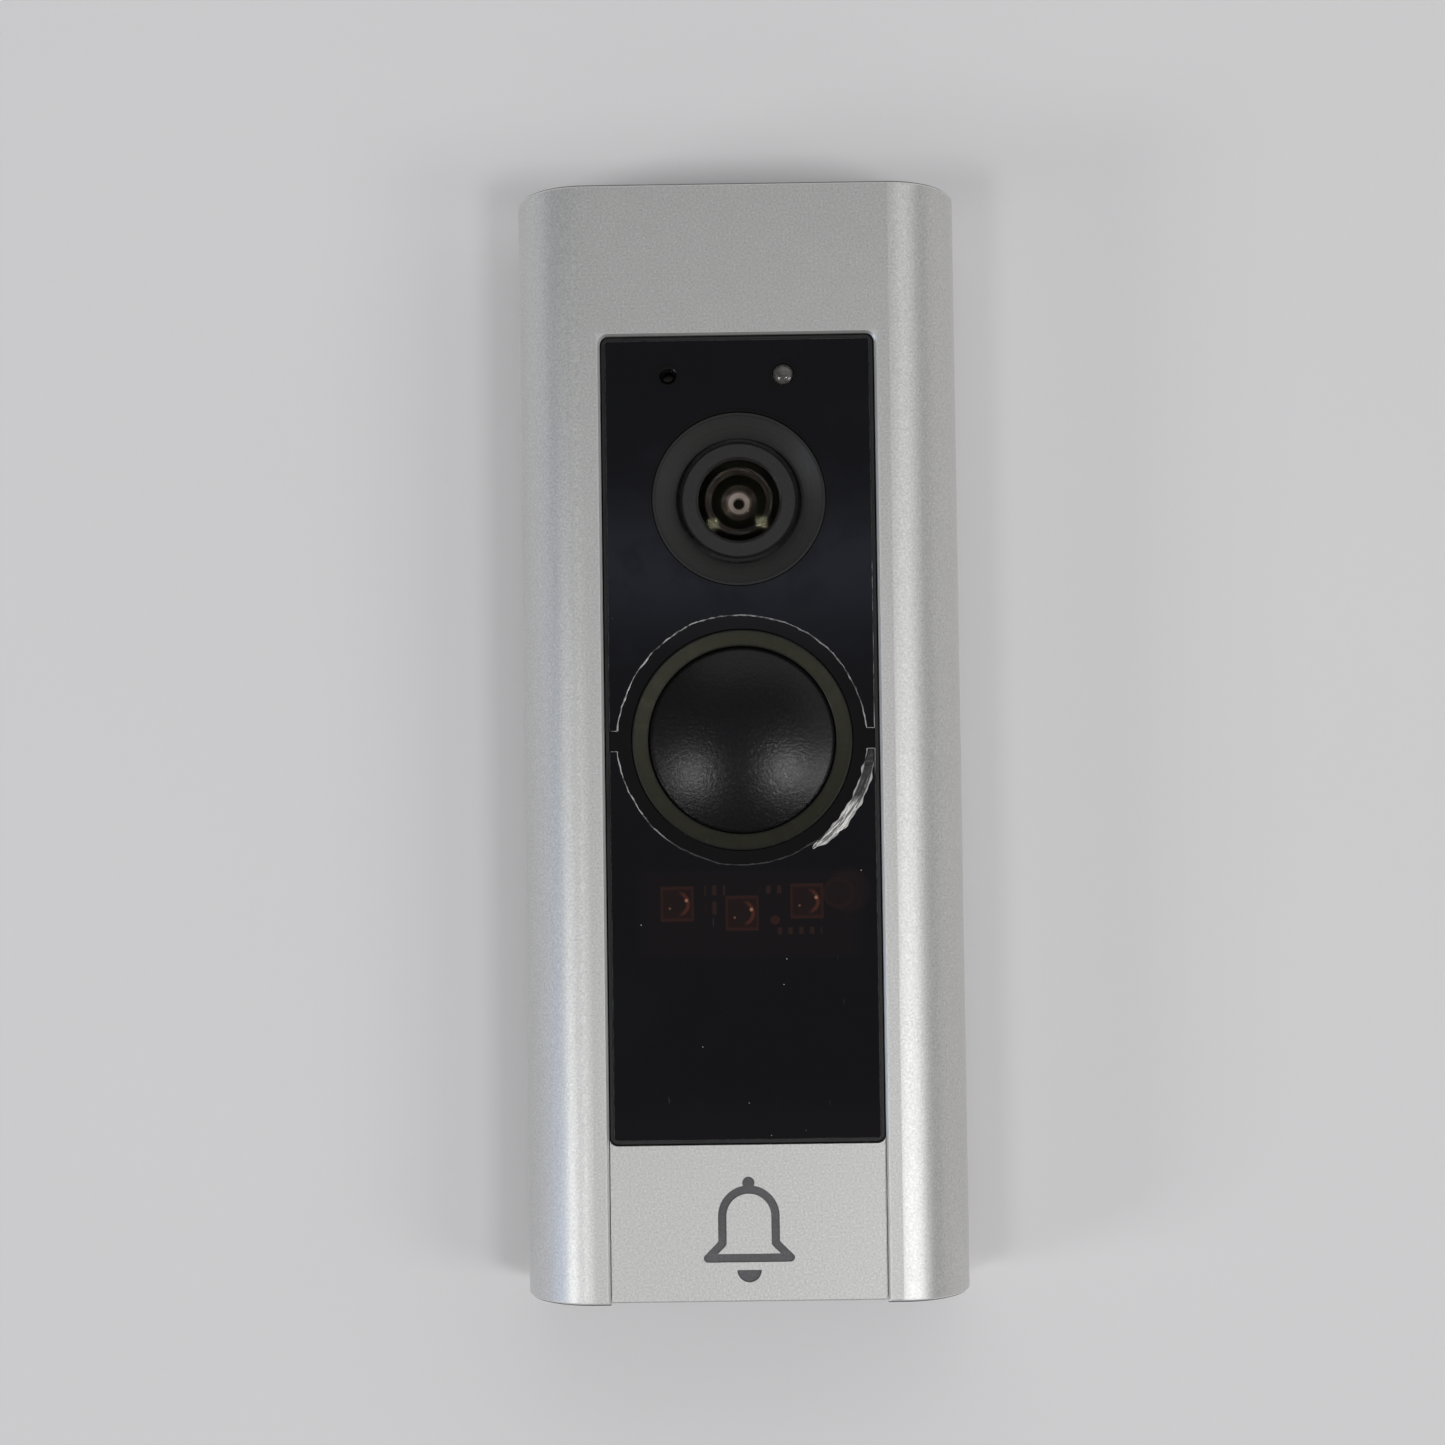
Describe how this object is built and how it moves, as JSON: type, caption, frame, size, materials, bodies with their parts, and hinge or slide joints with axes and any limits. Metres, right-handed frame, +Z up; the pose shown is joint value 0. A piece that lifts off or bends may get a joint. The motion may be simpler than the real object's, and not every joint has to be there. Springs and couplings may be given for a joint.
{
  "type": "video doorbell",
  "caption": "Slim upright video doorbell for a wall: a metal cover that slides off, a dark window with a camera, and a domed call button in a light ring.",
  "frame": {"origin": "centre of the flat back, in the plane of the wall, at half of the cover's height", "axes": "+Z up, +X to a visitor's right, +Y into the wall, so the window and button face -Y"},
  "size_m": [0.046, 0.0203, 0.1142],
  "materials": {
    "cover_metal": "satin anodised",
    "chin_metal": "satin anodised",
    "mark_grey": "matte paint fill",
    "liner_plastic": "fine moulded grain",
    "spring_steel": "rolled",
    "black_screw_steel": "black zinc",
    "housing_plastic": "fine moulded grain",
    "back_plastic": "moulded grain",
    "seal_rubber": "matte",
    "screw_steel": "bright zinc",
    "label_paper": "blank printed polyester",
    "window_black": "polished",
    "tape_black": "foam tape",
    "film_clear": "clear film over the black panel",
    "trim_metal": "fine turned, dark anodised",
    "lens_black": "satin",
    "lens_glass": "coated",
    "stop_black": "matte",
    "holder_plastic": "matte",
    "sensor_die": "glass-covered chip",
    "board_green": "solder mask",
    "mic_can": "plated",
    "pipe_clear": "clear polycarbonate",
    "chip_black": "epoxy",
    "button_black": "fine metallic grain",
    "plunger_white": "matte",
    "switch_grey": "matte",
    "ring_translucent": "smoked translucent",
    "led_white": "phosphor",
    "ir_lamp": "tinted epoxy",
    "shield_can": "tin plate",
    "connector_white": "nylon",
    "antenna_board": "solder mask",
    "coil_dark": "ferrite",
    "capacitor_can": "drawn",
    "terminal_brass": "machined",
    "clamp_steel": "zinc passivated",
    "terminal_steel": "zinc plated",
    "setup_orange": "matte",
    "speaker_black": "matte",
    "speaker_paper": "coated paper"
  },
  "bodies": {
    "body": {"front_housing": "housing_plastic", "rear_housing": "back_plastic", "housing_gasket": "seal_rubber", "housing_screws": "screw_steel", "rear_label": "label_paper", "window_panel": "window_black", "window_adhesive": "tape_black", "film_upper": "film_clear", "film_lower": "film_clear", "lens_trim": "trim_metal", "lens_barrel": "lens_black", "lens_front_glass": "lens_glass", "lens_inner_glass": "lens_glass", "lens_stop": "stop_black", "lens_seal": "seal_rubber", "lens_holder": "holder_plastic", "image_sensor": "sensor_die", "camera_board": "board_green", "sensor_board": "board_green", "microphone": "mic_can", "microphone_gasket": "seal_rubber", "light_pipe": "pipe_clear", "light_sensor": "chip_black", "switch_body": "switch_grey", "button_seal": "seal_rubber", "light_guide_ring": "ring_translucent", "ring_leds": "led_white", "front_board": "board_green", "ir_leds": "ir_lamp", "front_board_chips": "chip_black", "main_board": "board_green", "processor_shield": "shield_can", "wifi_module": "shield_can", "board_connector": "connector_white", "board_standoffs": "terminal_brass", "board_screws": "screw_steel", "antenna": "antenna_board", "power_board": "board_green", "power_inductor": "coil_dark", "power_capacitors": "capacitor_can", "terminal_inserts": "terminal_brass", "setup_switch_body": "switch_grey", "speaker_frame": "speaker_black", "speaker_cone": "speaker_paper"},
    "cover": {"faceplate_shell": "cover_metal", "chin_plate": "chin_metal", "chin_mark_inlay": "mark_grey", "faceplate_liner": "liner_plastic", "cover_clips": "spring_steel"},
    "security_washer": {"security_washer": "black_screw_steel"},
    "security_screw": {"security_screw": "black_screw_steel"},
    "button": {"button_cap": "button_black", "button_plunger": "plunger_white", "switch_actuator": "plunger_white"},
    "setup_button": {"setup_button_cap": "setup_orange", "setup_switch_actuator": "plunger_white"},
    "terminal_clamp_left": {"terminal_clamp_left": "clamp_steel"},
    "terminal_screw_left": {"terminal_screw_left": "terminal_steel"},
    "terminal_clamp_right": {"terminal_clamp_right": "clamp_steel"},
    "terminal_screw_right": {"terminal_screw_right": "terminal_steel"}
  },
  "joints": [
    {"name": "cover_removal", "type": "slide", "parent": "body", "child": "cover", "axis": [0, -1, 0], "range_m": [0, 0.022]},
    {"name": "button_press", "type": "slide", "parent": "body", "child": "button", "axis": [0, 1, 0], "range_m": [0, 0.0005], "stiffness_N_per_m": 2000, "springref_m": -0.0003, "deforming": ["button_seal"]},
    {"name": "setup_press", "type": "slide", "parent": "body", "child": "setup_button", "axis": [-1, 0, 0], "range_m": [0, 0.0004], "stiffness_N_per_m": 1000, "springref_m": -0.0003},
    {"name": "terminal_lift_left", "type": "slide", "parent": "body", "child": "terminal_clamp_left", "axis": [0, 1, 0], "range_m": [0, 0.00105]},
    {"name": "terminal_turn_left", "type": "hinge", "parent": "terminal_clamp_left", "child": "terminal_screw_left", "pos_m": [-0.0065, -0.004, -0.03], "axis": [0, 1, 0], "range_deg": [0, 630]},
    {"name": "terminal_lift_right", "type": "slide", "parent": "body", "child": "terminal_clamp_right", "axis": [0, 1, 0], "range_m": [0, 0.00105]},
    {"name": "terminal_turn_right", "type": "hinge", "parent": "terminal_clamp_right", "child": "terminal_screw_right", "pos_m": [0.0065, -0.004, -0.03], "axis": [0, 1, 0], "range_deg": [0, 630]},
    {"name": "security_lift", "type": "slide", "parent": "cover", "child": "security_washer", "axis": [0, 0, 1], "range_m": [0, 0.00175]},
    {"name": "security_turn", "type": "hinge", "parent": "security_washer", "child": "security_screw", "pos_m": [0, -0.0064, -0.055], "axis": [0, 0, 1], "range_deg": [0, 1575]}
  ],
  "couplings": [
    {"joint": "terminal_turn_left", "follows": "terminal_lift_left", "rad_per_m": 10472},
    {"joint": "terminal_turn_right", "follows": "terminal_lift_right", "rad_per_m": 10472},
    {"joint": "security_turn", "follows": "security_lift", "rad_per_m": 15708}
  ]
}
